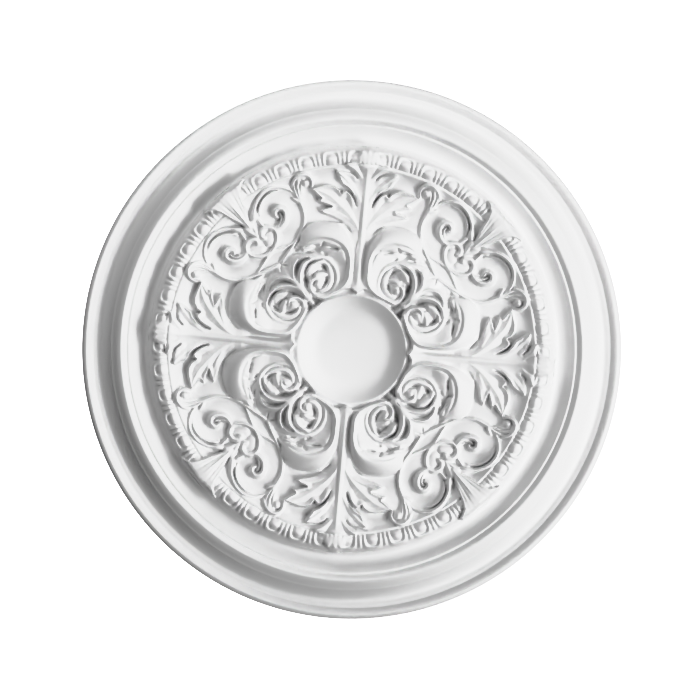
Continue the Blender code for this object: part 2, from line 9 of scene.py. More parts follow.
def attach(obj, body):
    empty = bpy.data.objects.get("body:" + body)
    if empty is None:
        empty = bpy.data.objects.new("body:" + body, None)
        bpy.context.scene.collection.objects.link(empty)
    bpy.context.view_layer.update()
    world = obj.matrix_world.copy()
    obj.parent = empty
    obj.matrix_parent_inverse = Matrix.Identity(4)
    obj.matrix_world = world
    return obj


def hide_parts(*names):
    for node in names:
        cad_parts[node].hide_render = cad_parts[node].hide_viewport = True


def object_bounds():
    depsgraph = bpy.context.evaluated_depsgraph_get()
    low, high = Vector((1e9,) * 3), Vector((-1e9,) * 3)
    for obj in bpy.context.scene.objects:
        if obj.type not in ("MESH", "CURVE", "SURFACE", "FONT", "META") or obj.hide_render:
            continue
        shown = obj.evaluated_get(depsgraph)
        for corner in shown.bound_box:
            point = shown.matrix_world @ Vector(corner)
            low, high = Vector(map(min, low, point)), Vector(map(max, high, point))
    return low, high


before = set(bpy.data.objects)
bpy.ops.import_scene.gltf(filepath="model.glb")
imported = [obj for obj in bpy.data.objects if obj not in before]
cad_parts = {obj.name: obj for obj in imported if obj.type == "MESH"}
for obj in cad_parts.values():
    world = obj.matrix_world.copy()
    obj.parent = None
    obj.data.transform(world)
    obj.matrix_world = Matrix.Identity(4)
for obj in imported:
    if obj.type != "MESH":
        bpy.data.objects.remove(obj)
cad_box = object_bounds()
bpy.ops.object.select_all(action="DESELECT")


# The view: from straight below, looking up at the carved face with a long lens, and turned a
# little, so that the leaves stand five degrees off upright.
VIEW_DISTANCE = 12.0
VIEW_WIDTH = 0.9091
VIEW_TURN = math.radians(-5.1)
SENSOR_WIDTH = 36.0
PICTURE_PIXELS = 700
ASIDE_PIXELS = -1.7
UP_PIXELS = -0.6

camera_data = bpy.data.cameras.new("camera")
camera_data.sensor_width = SENSOR_WIDTH
camera_data.lens = SENSOR_WIDTH * VIEW_DISTANCE / VIEW_WIDTH
camera_data.shift_x = ASIDE_PIXELS / PICTURE_PIXELS
camera_data.shift_y = UP_PIXELS / PICTURE_PIXELS
camera = bpy.data.objects.new("camera", camera_data)
camera.location = (0.0, 0.0, -VIEW_DISTANCE)
camera.rotation_euler = (math.pi, 0.0, math.pi + VIEW_TURN)
bpy.context.collection.objects.link(camera)
bpy.context.scene.camera = camera


# The turned mouldings round the outside, from the rim in to the deep scotia. They are one with
# the rest of the white casting, and each is round about its axis, so a profile is spun. Points
# are radius and height over the flat back, in millimetres, from the edge inwards.
MM = 0.001
EDGE_RADIUS = round(cad_box[1][0] / MM, 1)
FOOT_RADIUS = 264.0
FOOT_HEIGHT = 25.8
OUTER_COLUMNS = 256
SPIN_MERGE = 0.00005


def spun(name, profile, columns):
    """Turn a profile round the rose's axis with the spin tool."""
    mesh = bpy.data.meshes.new(name)
    edges = [(i, i + 1) for i in range(len(profile) - 1)]
    mesh.from_pydata([(radius * MM, 0.0, -height * MM) for radius, height in profile], edges, [])
    piece = bpy.data.objects.new(name, mesh)
    bpy.context.collection.objects.link(piece)
    bpy.context.view_layer.objects.active = piece
    piece.select_set(True)
    bpy.ops.object.mode_set(mode="EDIT")
    bpy.ops.mesh.select_all(action="SELECT")
    bpy.ops.mesh.spin(steps=columns, angle=math.tau, center=(0, 0, 0), axis=(0, 0, 1))
    bpy.ops.mesh.select_all(action="SELECT")
    bpy.ops.mesh.remove_doubles(threshold=SPIN_MERGE)
    bpy.ops.object.mode_set(mode="OBJECT")
    piece.select_set(False)
    return piece


rim = [
    (EDGE_RADIUS, 0), (EDGE_RADIUS, 12.6), (349.7, 13.6), (348.9, 14.8), (347.6, 16), (346.4, 16.85),
    (345.4, 17.35), (344.4, 17.5), (343.4, 17.25), (342.4, 16.8), (341.4, 16.2), (340.4, 15.45),
    (339.4, 14.6), (338.4, 13.65), (337.4, 12.55), (336.6, 11.65), (335.9, 11), (335.2, 10.7)]
trough = [
    (334.2, 10.55), (333.2, 10.5), (332.2, 10.35), (331, 10), (329.8, 9.65), (328.6, 9.45), (327.6, 9.45),
    (326.6, 9.8)]
cavetto = [
    (325.6, 10.4), (324.6, 11.3), (323.6, 12.4), (322.6, 13.7), (321.6, 15.05), (320.6, 16.45),
    (319.6, 17.85), (318.6, 19.25), (317.6, 20.65), (316.6, 22.05), (315.6, 23.45), (314.6, 24.8),
    (313.6, 26.15), (312.6, 27.4), (311.8, 28.3)]
fillet = [(311.2, 28.75), (310.6, 29.1)]
ovolo = [
    (309.6, 30), (308, 31.5), (307, 32.4), (306, 33.35), (305, 34.2), (304, 35), (303, 35.7), (302, 36.3),
    (301, 36.85), (300, 37.3), (299, 37.5), (298.2, 37.3), (297, 36.6), (296, 35.6), (295, 34.4),
    (294, 33.1), (293, 31.9), (292.2, 31.1)]
quirk = [(291.5, 30.7), (290.8, 30.9), (290, 31.35), (289.3, 31.4), (288.6, 31)]
scotia = [
    (287.8, 30.5), (287, 29.9), (285, 28.3), (283, 26.9), (281, 25.1), (279, 23.5), (277, 22.1),
    (275.5, 21.3), (274, 20.6), (272.6, 20.1), (271.4, 19.8), (270.2, 19.6), (269, 19.6), (267.8, 20),
    (266.5, 21.2), (265.2, 23.2), (FOOT_RADIUS, FOOT_HEIGHT)]
mouldings = spun("mouldings", rim + trough + cavetto + fillet + ovolo + quirk + scotia, OUTER_COLUMNS)


# The plain dish at the centre, where a light's canopy sits, and its rolled rim. It is part of the
# casting too, and round, so it is spun in the same way, from its flat floor outwards.
CARVING_START = 71.0
START_HEIGHT = 35.9
DISH_COLUMNS = 192
dish = spun("dish", [
    (38, 17.5), (41, 17.55), (44, 17.75), (46.5, 18.1), (49, 18.7), (51.5, 19.6), (54, 20.9), (56, 22.3),
    (58, 24), (60, 25.9), (62, 28), (64, 30.2), (66, 32.4), (67.5, 34), (68.6, 35.2), (69.4, 35.9),
    (70.2, 36.1), (CARVING_START, START_HEIGHT)], DISH_COLUMNS)


# The carved medallion between them, part of the same white casting. Its pattern repeats, so one
# eighth is carved here, in millimetres over the plain field, and mirrored round. In that eighth
# the leaf's middle lies on the Y axis, and the fan's middle on the diagonal.
FIELD_HEIGHT = 26.0
BAND_START = 240
EGG_COUNT = 48


def smooth_line(rows, steps=6):
    """A Catmull-Rom curve through the rows, each column alike."""
    p = np.array(rows, float)
    q = np.vstack([2 * p[0] - p[1], p, 2 * p[-1] - p[-2]])
    out = []
    for i in range(1, len(q) - 2):
        for t in np.arange(steps) / steps:
            straight = q[i] * (2 - 5 * t**2 + 3 * t**3) + q[i + 1] * (t + 4 * t**2 - 3 * t**3)
            out.append(0.5 * (straight + q[i - 1] * (2 * t**2 - t - t**3) + q[i + 2] * (t**3 - t**2)))
    out.append(p[-1])
    return np.array(out)


def nearest_on(x, y, line):
    """Distance to a line, its side (+ on the left of its run) and the line's own columns there."""
    best = np.full(x.shape, np.inf)
    side = np.zeros(x.shape)
    columns = np.zeros((line.shape[1] - 2,) + x.shape)
    for a, b in zip(line[:-1], line[1:]):
        dx, dy = b[:2] - a[:2]
        t = np.clip(((x - a[0]) * dx + (y - a[1]) * dy) / (dx * dx + dy * dy + 1e-12), 0, 1)
        ex = x - a[0] - t * dx
        ey = y - a[1] - t * dy
        closer = ex * ex + ey * ey < best
        best[closer] = (ex * ex + ey * ey)[closer]
        side[closer] = np.sign(dx * ey - dy * ex)[closer]
        for k in range(len(columns)):
            columns[k][closer] = (a[k + 2] + t * (b[k + 2] - a[k + 2]))[closer]
    return np.sqrt(best), side, columns


def stroke(x, y, rows, left, right):
    """Which points a stroke passes, which of them it covers, how full it is there, and its rise.

    Rows are x, y, half width, rise, or x, y, left width, right width, rise. A flank is round
    under 1, straight at 1 and hollow above it.
    """
    rows = [row if len(row) == 5 else (row[0], row[1], row[2], row[2], row[3]) for row in rows]
    line = smooth_line(rows)
    reach = line[:, 2:4].max() + 1
    low = line[:, :2].min(axis=0) - reach
    high = line[:, :2].max(axis=0) + reach
    near = (x > low[0]) & (x < high[0]) & (y > low[1]) & (y < high[1])
    distance, side, (width_left, width_right, rise) = nearest_on(x[near], y[near], line)
    width = np.where(side > 0, width_left, width_right)
    power = np.where(side > 0, left, right)
    t = np.clip(1 - distance / np.maximum(width, 1e-3), 0, 1)
    return near, t > 0, np.where(power < 1, (1 - (1 - t) ** 2) ** power, t**power), rise


def raised(height, x, y, rows, ground=0.0, left=0.6, right=None, floor=0.0):
    """Raise one ridge. It stands on the ground, and its flanks run down to the floor over that."""
    near, covered, fullness, rise = stroke(x, y, rows, left, left if right is None else right)
    top = np.broadcast_to(ground, x.shape)[near] + floor + (rise - floor) * fullness
    height = height.copy()
    height[near] = np.where(covered, np.maximum(height[near], top), height[near])
    return height


def cut(height, x, y, rows, flank):
    """Cut one groove, as deep as its rise."""
    near, _, fullness, rise = stroke(x, y, rows, flank, flank)
    height = height.copy()
    height[near] = height[near] - rise * fullness
    return height


def inside(x, y, outline):
    """Distance to a closed outline, + inside it."""
    ring = np.array(list(outline) + [outline[0]], float)
    distance = nearest_on(x, y, ring)[0]
    within = np.zeros(x.shape, bool)
    for a, b in zip(ring[:-1], ring[1:]):
        if a[1] != b[1]:
            crossing = a[0] + (y - a[1]) * (b[0] - a[0]) / (b[1] - a[1])
            within ^= ((a[1] > y) != (b[1] > y)) & (x < crossing)
    return np.where(within, distance, -distance)


def oval(x, y, cx, cy, rx, ry, turn):
    """0 at an oval's centre, 1 on its edge."""
    c = math.cos(math.radians(turn))
    s = math.sin(math.radians(turn))
    return np.hypot(((x - cx) * c + (y - cy) * s) / rx, ((y - cy) * c - (x - cx) * s) / ry)


def ease(t):
    """0 to 1 with a soft start and a soft end."""
    t = np.clip(t, 0, 1)
    return t * t * (3 - 2 * t)


def height_by(r, rows):
    """Height at a radius, on straight lines between the rows."""
    rows = np.array(rows)
    return np.interp(r, rows[:, 0], rows[:, 1])


def plain_ground(r):
    """The cove round the dish, the plain field, the cove beyond it and the fillet at the band's foot."""
    return height_by(r, [
        (60, 9), (70, 10), (71, 9.9), (73, 9.2), (75, 7.6), (77, 6), (84, 3), (92, 0.8), (100, 0),
        (198, 0), (206, 0.4), (214, 1.6), (222, 4), (229, 7.8), (232, 10.4), (234, 12.3), (235.6, 13.6),
        (236.2, 14.6), (237.6, 15), (239, 14.6), (239.8, 13.6), (240.6, 13.6)])


# The egg-and-dart band. Eggs sit in square-shouldered shells with darts between them, on a band
# that falls outwards to the scotia.
EGG_CENTRE = 244
EGG_HALF = (6.9, 10.4)
EGG_RISE = 3
SHELL_HALF = (10.4, 14)
SHELL_WALL = 2
SHELL_RISE = 2.7
DART_HALF = 2.3
DART_RISE = 2.5
DART_END = 258


def egg_band(r, angle):
    """The band's height. Eggs and darts take turns, half a pitch apart, from a dart on the leaf's line."""
    turns = (angle * EGG_COUNT / 360) % 1
    from_dart = np.abs(turns - np.round(turns)) * math.tau * r / EGG_COUNT
    from_egg = math.pi * r / EGG_COUNT - from_dart
    outwards = np.clip(r - EGG_CENTRE, 0, None)
    half_egg, egg_length = EGG_HALF
    egg = EGG_RISE * np.sqrt(np.clip(1 - (from_egg / half_egg) ** 2 - (outwards / egg_length) ** 2, 0, 1))
    half_shell, shell_length = SHELL_HALF
    beyond = half_shell * (((from_egg / half_shell) ** 4 + (outwards / shell_length) ** 4) ** 0.25 - 1)
    shell = SHELL_RISE * np.sqrt(np.clip(1 - (beyond / SHELL_WALL) ** 2, 0, 1))
    shell = shell * np.clip((r - BAND_START) / 1.5, 0, 1)
    dart = DART_RISE * np.sqrt(np.clip(1 - (from_dart / DART_HALF) ** 2, 0, 1))
    dart = dart * np.clip((DART_END - r) / 2, 0, 1)
    ground = height_by(r, [
        (239.5, 13.2), (241, 13.8), (243, 15.2), (245, 16.7), (247, 17.5), (248.5, 17.6), (250, 17.1),
        (252, 16), (255, 13.9), (258, 11.3), (260, 8.6), (261.5, 5.6), (263, 2), (264, -0.2)])
    return ground + np.maximum(np.maximum(egg, shell), dart)


# The acanthus leaf. Its lobes overlap, each with a rib and a curled edge, its stem is grooved, and
# its tip curls over the band. Its outline runs a little past its middle line, so that the edge's
# curl doesn't follow that line.
LEAF_OUTLINE = [
    (-9, 264), (0, 264), (7, 262.5), (12.5, 256), (15, 248), (16.5, 242), (22, 241), (28, 238.5),
    (26, 234), (19, 229), (12.5, 221.5), (18, 226.8), (26, 228.8), (39.5, 229), (40.5, 226), (35, 218),
    (31, 211.5), (23.5, 207.5), (17, 201.5), (12.5, 193.5), (10.2, 185.5), (14, 193.8), (19, 200.5),
    (24, 204), (28, 203.4), (30.5, 200), (34, 204.8), (41, 208.6), (50, 209), (60, 206), (71, 202.3),
    (64, 196.5), (56.5, 191.3), (60.5, 187), (51, 184.6), (42.2, 182), (51, 178.6), (57.5, 174.8),
    (50, 171.2), (40, 169), (31, 165.5), (26, 162.4), (31, 162.6), (37, 163), (50, 162.5), (62, 159.8),
    (72, 154.5), (78.5, 145), (79.5, 134), (86, 124), (96, 112), (104, 104), (84, 80), (62, 62), (56, 59),
    (47, 62), (38, 66), (27, 70.5), (17, 76), (8.3, 77.6), (0, 73), (-9, 73)]
EDGE_CURL = 7
CURL_WIDTH = 10
LOBE_RIBS = [
    [(3, 150, 9, 6, 8.5), (9, 162, 10, 9, 9), (19, 174, 12, 12, 9.5), (31, 184.5, 14, 15, 10),
     (45, 195, 14, 16, 10.5), (58, 200.5, 9, 13, 10.2), (69, 202, 4, 7, 9)],
    [(27, 179, 5, 7, 8.5), (40, 184.5, 6, 7, 9), (52, 188, 5, 6, 9.5), (59, 187.5, 3, 4, 8.8)],
    [(17, 167, 5, 8, 8), (30, 172.5, 7, 9, 8), (44, 175.5, 6, 7, 8.3), (55, 175.2, 3, 4, 7.8)],
    [(2, 180, 6, 9, 8), (7, 195, 8, 11, 8.6), (16, 208, 10, 12, 9.2), (27, 218.5, 10, 10, 9.6),
     (38, 227.5, 5, 6, 9)],
    [(2, 214, 6, 8, 8), (8, 224, 8, 8, 9), (16, 232, 8, 7, 9.5), (26, 238, 5, 5, 9)]]
STEM = [
    (0, 76, 9, 11), (0, 84, 8, 13), (0, 100, 6.6, 13.5), (0, 130, 5.8, 12), (0, 160, 5.2, 10.6),
    (0, 200, 5, 9.6), (0, 232, 5.4, 10)]
STEM_GROOVE = [
    (8.8, 78, 1.6, 1.4), (7, 90, 1.6, 1.1), (6, 105, 1.6, 0.9), (5.4, 130, 1.4, 0.7), (5, 160, 1.3, 0.5),
    (4.6, 205, 1.2, 0.3)]
CURLED_TIP = [(0, 232, 10, 9.5), (0, 240, 13, 8.4), (0, 247, 14, 8), (0, 253.5, 12.5, 8), (0, 259.5, 8, 9)]
LOBE_VALLEYS = [
    [(13.4, 149, 0.8, 1), (16.6, 154, 1.8, 4), (22.4, 159, 1.8, 4), (28, 161.6, 1, 1)],
    [(10.6, 187, 1, 1.4), (13.5, 194, 2, 3.2), (19.5, 202, 2.2, 3.2), (25.5, 205.5, 1.2, 0.8)],
    [(30.5, 201, 1.8, 4), (31.2, 202.5, 1.8, 3)],
    [(12.5, 221.5, 1.1, 1), (17.5, 226.5, 1.4, 1.4), (24, 229.3, 1.2, 0.8)]]


def leaf(x, y, lift):
    """The leaf's body with its curled edges, its ribs, its stem and its tip."""
    body = np.interp(y, [60, 80, 100, 125, 150, 190, 245, 262], [9, 12, 10, 8, 3, 3, 4, 4]) + lift
    body = body + np.interp(x, [4, 20, 50], [5, 1.5, 0]) * ease((y - 130) / 15) * ease((240 - y) / 20)
    curl = EDGE_CURL * (1 - ease(inside(x, y, LEAF_OUTLINE) / CURL_WIDTH))
    body = body + curl * ease((x - 9) / 12) * ease((y - 163) / 12) * (1 - 0.9 * ease((y - 214) / 16))
    body = body - body * 0.95 * ease((x - 66) / 16) * ease((130 - y) / 10)
    for rib in LOBE_RIBS:
        body = raised(body, x, y, rib, lift, left=1, floor=2)
    body = raised(body, x, y, STEM, lift, left=0.7, floor=5)
    return raised(body, x, y, CURLED_TIP, lift, floor=4)


# The leaf's lowest lobe is turned over into a cup, and a volute stands in it: a ridge wound inwards
# to a round eye on a cone, under an arch, in a hollow of its own. A short leaf runs to its eye.
CUP_RIM = [
    (79, 123.5, 5, 5, 6), (73, 130, 7, 14, 11.5), (65, 136.6, 9, 20, 17), (55, 140.6, 12, 21, 20.4),
    (44, 141.6, 16, 21, 22), (33, 139.4, 18, 20, 22.6), (23.4, 134.4, 18, 14, 22.8), (16, 126, 17, 7.5, 22.6),
    (12.6, 114, 15, 5, 22), (12, 100, 14, 5, 21.6), (13.6, 88, 14, 6, 21), (19.4, 79.5, 12, 9, 19),
    (28.6, 72.5, 10, 8, 16), (38, 67.2, 8, 6, 13), (47, 63.6, 6, 4, 11)]
CUP_OPEN_SIDE = [(62, 66), (74, 88), (80, 108), (90, 112)]
CUP_FLOOR_TOP = 18.5
TURNED_LIP = [
    (27, 131.6, 4, 19.6), (35, 135, 6, 19.6), (45, 136.6, 6.5, 19), (56, 135.4, 6.4, 17.8),
    (65, 131.6, 5.6, 15.6), (73, 126, 4.4, 12)]
VOLUTE_HOLLOW = (48, 90, 22.5, 25, 6)
VOLUTE_FLOOR = 6
WHORL = [
    (57, 112.5, 2, 11.5), (49, 115.3, 2.8, 12.6), (40, 112.2, 3.2, 13), (32, 105.2, 3.3, 13.2),
    (27.3, 95.5, 3.4, 13.4), (26.3, 86, 3.4, 13.4), (28.8, 77, 3.4, 13.4), (34.3, 70.4, 3.3, 13.4),
    (42, 66.9, 3.2, 13.6), (50, 66.4, 3.1, 14.2), (56.6, 69.2, 3.2, 15.4), (60, 75, 3.3, 16.6),
    (59.8, 81, 3.3, 17.4), (56, 86, 3.2, 17.8), (50, 86.8, 2.6, 17.2)]
SECOND_WHORL = [
    (48, 110.5, 1.6, 9.5), (40.4, 105, 3, 12), (35.6, 96, 4, 12.8), (34.6, 87.4, 4.6, 13),
    (37, 79, 4.6, 13.6), (42.4, 73.8, 4, 14), (48.5, 72, 3, 14)]
CONE = (51.5, 82, 13, 15, 0)
CONE_FOOT = 5
CONE_RISE = 15
ARCH = [
    (43, 110, 2, 2, 10), (49.5, 109.4, 3.4, 6, 14), (56.5, 106.6, 4, 8, 16.5), (62, 101, 4.4, 8.5, 18),
    (64.2, 94, 4, 8, 18), (63.6, 87.6, 3.4, 6, 17), (61.4, 83, 2.6, 4, 16)]
EYE = [(51.3, 80.4, 6, 18.6), (51.7, 79.6, 6, 18.6)]
SHORT_LEAF = [(41, 93.5, 3, 11), (47, 93, 4.5, 14.4), (53.5, 90.5, 5, 16.4)]
SHORT_LEAF_SIDES = [
    [(40, 97, 1.2, 1.5), (43.6, 102.6, 2.8, 5.5), (48.6, 105.6, 2.6, 5.5), (54, 106, 1.2, 1.5)],
    [(37.8, 90, 1.6, 2.5), (40.4, 83.4, 3.2, 5.5), (44, 78, 2.4, 3)]]
EYE_GROOVE = [
    (48.6, 84.4, 1, 1.6), (53.4, 83.8, 1.4, 3), (56.3, 80, 1.5, 3.4), (55, 75.6, 1.3, 2.8),
    (51.4, 74, 1, 1.4)]


def cup_and_volute(body, x, y):
    """The cup's floor, rim and lip, and the volute's hollow, ridges, cone, arch and eye."""
    bowl = inside(x, y, [row[:2] for row in CUP_RIM] + CUP_OPEN_SIDE)
    cup_floor = np.interp(x, [12, 18, 26, 36, 48, 62, 76, 90], [18, 15, 11.6, 8, 5, 2.6, 1, 0.5])
    cup_floor = np.minimum(cup_floor + 5.5 * ease((y - 103) / 22) * ease((62 - x) / 14), CUP_FLOOR_TOP)
    body = np.where(bowl > 0, body - (body - cup_floor) * ease(bowl / 6), body)
    body = raised(body, x, y, CUP_RIM, left=1, right=0.9, floor=1)
    body = raised(body, x, y, TURNED_LIP, left=0.3, floor=4)
    hollow = oval(x, y, *VOLUTE_HOLLOW)
    body = np.where(hollow < 1, VOLUTE_FLOOR, body)
    body = cut(body, x, y, STEM_GROOVE, 1)
    for ridge in (WHORL, SECOND_WHORL):
        body = raised(body, x, y, ridge, left=0.7, floor=9)
    cone = CONE_RISE * np.clip(1 - oval(x, y, *CONE), 0, 1) ** 0.9 + CONE_FOOT
    body = np.where(hollow < 0.95, np.maximum(body, cone), body)
    body = raised(body, x, y, ARCH, left=0.6, right=0.8, floor=7)
    body = raised(body, x, y, EYE, left=0.7, floor=4)
    body = raised(body, x, y, SHORT_LEAF, left=0.5, floor=6)
    for groove in SHORT_LEAF_SIDES + [EYE_GROOVE]:
        body = cut(body, x, y, groove, 0.8)
    return body


# The calyx on the diagonal, from which the volutes spring: a sheath round each volute's back, a
# keel down the middle that falls outwards, and a rolled edge between them. Its foliage runs over
# the cup, with veins, and with small drilled holes for shade.
SHEATH = [
    (43, 119, 6, 3, 9.5), (52, 115.8, 11, 4, 13.5), (61, 112.8, 16, 4, 16.5), (69, 107, 20, 5, 19.5),
    (74, 97, 22, 6, 21.5), (75.4, 84, 23, 7, 22.5), (72, 74, 20, 8, 21), (66, 66, 8, 7, 17)]
KEEL = [
    (60, 60, 7, 14), (67, 67, 10, 20), (73, 73, 13, 22.8), (80, 80, 15, 20.5), (88, 88, 16, 14.5),
    (96, 96, 15, 8), (104, 104, 11, 2.5)]
BEHIND_SHEATH = [
    (66, 112, 1.6, 5), (73, 109, 2.8, 9), (78.4, 102, 3.6, 13), (79.6, 93.5, 3.2, 12.5), (78, 86, 2.2, 8),
    (75.4, 80.5, 1.2, 3)]
ROLLED_EDGE = [
    (80.6, 109, 2.2, 12), (84.4, 101, 2.8, 16.5), (84.6, 91, 3, 18.6), (81.5, 82, 3, 19),
    (78, 76.5, 2.4, 18)]
VOLUTE_SHADES = [
    [(50.5, 111.8, 1.2, 2), (56.5, 109.4, 1.7, 5), (62.5, 106.4, 2, 6), (66, 103.4, 1.6, 4)],
    [(56, 92.5, 1.4, 1), (61.5, 91, 3, 5), (65.4, 86.5, 4, 9), (66.8, 80, 4, 10), (65.4, 73.6, 3.2, 8),
     (61.5, 68.4, 2, 5)]]
VEINS = [
    [(92, 113.5, 0.8, 0.8), (80, 116.6, 1.2, 1.8), (68, 118, 1.2, 2), (58, 117.6, 0.9, 1)],
    [(88, 119.6, 0.8, 0.8), (76, 125.6, 1.3, 1.8), (66, 128.6, 1.3, 2), (57, 131, 1, 1.4)]]
DRILLED_HOLES = [
    (49.5, 132.4, 2.4, 4, 40, 7), (59.5, 129.8, 6.4, 1.8, -14, 5), (37, 128.6, 6, 1.6, 8, 5),
    (31, 128, 2.6, 2, 10, 4), (68, 119.8, 6.4, 1.4, -4, 4.5), (83.5, 121, 1.6, 4.2, 55, 4),
    (96, 100.6, 5.6, 1.2, 8, 3.5), (46, 120.5, 4.6, 2.2, 30, 4)]


def calyx_and_foliage(body, x, y):
    """The calyx and its foliage, laid over the cup and the volute's back."""
    body = raised(body, x, y, SHEATH, left=1.1, right=0.7, floor=0.5)
    body = raised(body, x, y, KEEL, left=0.8, floor=0.5)
    body = cut(body, x, y, BEHIND_SHEATH, 0.7)
    body = raised(body, x, y, ROLLED_EDGE, left=0.8, floor=4)
    for shade in VOLUTE_SHADES:
        body = cut(body, x, y, shade, 0.8)
    for vein in VEINS:
        body = cut(body, x, y, vein, 0.9)
    for *place, depth in DRILLED_HOLES:
        body = body - depth * np.clip(1 - oval(x, y, *place) ** 2, 0, 1)
    return body


# The pocket between the dish and a pair of volutes: a hollow with a small leaf in it, and a round
# bead over its outer end.
POCKET_OUTLINE = [(41, 60.5), (50, 62.5), (60, 66), (66, 60), (62.5, 50), (60.5, 41), (50.5, 50.5)]
POCKET_DEPTH = 3.5
POCKET_LEAF = [(52, 52, 2, 2), (56, 56, 3.4, 6), (60, 60, 3, 9)]
POCKET_BEAD = [(62.5, 62.5, 6.2, 16), (64, 64, 6.2, 16)]


def pocket(height, x, y):
    """The hollow, sunk under the plain field, its leaf and its bead."""
    within = inside(x, y, POCKET_OUTLINE)
    height = np.where(within > 0, height - (height + POCKET_DEPTH) * ease(within / 2.5), height)
    height = raised(height, x, y, POCKET_LEAF)
    return raised(height, x, y, POCKET_BEAD, left=0.5)


# The scrollwork of the field: an S stem that ends in a bud, a stem that winds into a spiral, the
# heart-shaped curl by the fan, and the knot that ties them on the diagonal. The ridges are thin
# and round, and slits are cut between those that lie side by side.
SCROLL_RIDGES = {
    "S stem": [
        (99, 105, 2, 6), (92.4, 117.5, 2.1, 5), (86, 129, 2.1, 4.4), (80.4, 140, 2.1, 4.2),
        (76.8, 151, 2.2, 4.2), (75.6, 162, 2.4, 4.4), (77.4, 172, 2.6, 4.8), (81.4, 181, 3, 5.4),
        (85.3, 189, 3.8, 6), (87.2, 196, 6, 6.8), (88, 203.5, 8, 7.2), (87.2, 211, 7.8, 7), (84, 216, 5, 6)],
    "hood of the bud": [
        (70.6, 203.5, 1.6, 5.5), (70, 209.5, 2.2, 8), (72.6, 215.6, 2.6, 8.8), (78.5, 219.4, 2.8, 8.6),
        (85.5, 218.8, 2.8, 8), (91.2, 214.2, 2.6, 7.4), (94.6, 208.4, 2.2, 6.4), (96.2, 203, 1.4, 4)],
    "bud": [(78.6, 209.4, 5.6, 9.6), (79.2, 208.6, 5.6, 9.6)],
    "leaflet on the stem": [(84, 184.5, 2.6, 6), (90.5, 186.8, 2.6, 5.6), (94.2, 189, 1.2, 3)],
    "cross ridge": [
        (86.5, 130.5, 1.5, 3.4), (95, 126, 1.7, 3), (104, 121.8, 2, 3.4), (113, 117, 2.4, 4.6),
        (115.5, 115.5, 2.4, 5)],
    "heart's curl": [
        (115.5, 115, 2.6, 5.4), (110.4, 124, 2.5, 5.6), (108.6, 133, 2.4, 5.6), (110.4, 142, 2.5, 5.8),
        (117, 147.8, 2.8, 6.2), (124.5, 147.2, 3.4, 6.8), (129.6, 141.8, 4, 7.4), (129.4, 135.4, 4.2, 7.8),
        (126, 133.4, 3.6, 7.6)],
    "heart's floor": [(118.5, 129, 7, 3), (119, 137, 7, 3)],
    "spiral's stem": [
        (87, 188, 1.2, 2), (93.5, 195.4, 1.5, 3), (101.5, 199.6, 1.7, 3.6), (111.5, 201, 1.9, 4),
        (122.5, 198.6, 2.2, 4.8), (132, 191.4, 2.6, 5.8), (138.4, 181, 2.8, 6.8), (141.4, 170, 2.8, 7.2),
        (141, 160, 3, 7.4)],
    "rib inside the stem": [
        (114, 195.6, 1.2, 1.4), (122.6, 192.2, 1.6, 3), (130, 185.6, 1.8, 4.2), (134.2, 177, 1.9, 4.6),
        (135.4, 168, 1.8, 4), (134, 161, 1.6, 3)],
    "spiral": [
        (118, 145.4, 2.4, 2.4, 4.4), (109.5, 147.8, 3.4, 3, 6.4), (103.4, 153, 4.4, 3, 8.4),
        (100.6, 160, 4.8, 3, 9.8), (101, 167.2, 4.8, 3.2, 10.6), (105, 172.6, 5, 3.4, 11),
        (110.8, 173, 4.2, 3.4, 10.8), (114.6, 169, 3.8, 3.4, 10), (114, 164.2, 3.2, 3, 8.6),
        (110.6, 162.4, 2.4, 2.4, 7)],
    "rib inside the spiral": [
        (107.6, 152.6, 1.4, 6), (105.4, 158.4, 1.6, 7), (105.8, 164, 1.6, 7), (108.4, 167.4, 1.4, 6.4)],
    "tie to the knot": [
        (112, 145.6, 1.8, 4.6), (120.5, 146, 1.9, 4.4), (129, 149.6, 2.2, 4.8), (136, 155.6, 2.6, 5.4)],
    "stem's end": [(141, 168.5, 3.4, 7.4), (141, 162.5, 5, 9.6), (141.6, 157, 4.6, 8.8)],
    "knot": [(147, 147, 7.4, 10.5), (146, 146, 7.4, 10.5)],
    "leaf from the knot": [
        (143.2, 150.5, 5, 9.6), (141, 146.5, 4.8, 9), (137, 139.5, 3.6, 7.6), (134, 133.5, 2.6, 6.4)]}
SCROLL_SLITS = {
    "down the bud": [
        (80.4, 184.5, 0.7, 1), (83, 190.5, 1, 2.2), (85.2, 197.5, 1.4, 3.4), (86.6, 205.5, 1.5, 3.8),
        (84.8, 213.5, 1.2, 2.4)],
    "beside it": [(86, 190, 0.8, 1.4), (89.2, 197, 1.3, 3.2), (91.6, 205, 1.5, 3.6), (91.4, 211.5, 1.1, 2)],
    "inside the spiral's stem": [
        (108, 198.4, 0.8, 1), (117, 197.4, 1.1, 2.6), (125.6, 193, 1.5, 4.4), (133, 185, 1.7, 5.4),
        (137.4, 175.6, 1.8, 5.6), (138.4, 166.6, 1.6, 4.6), (137.4, 160.6, 1.4, 3)],
    "in the spiral's eye": [(107.6, 161.4, 1.1, 2.4), (108.6, 158.4, 1, 1.6)]}


def scrolls(height, x, y, ground):
    """The scrollwork, standing on the plain ground."""
    for ridge in SCROLL_RIDGES.values():
        height = raised(height, x, y, ridge, ground)
    for slit in SCROLL_SLITS.values():
        height = cut(height, x, y, slit, 0.7)
    return height


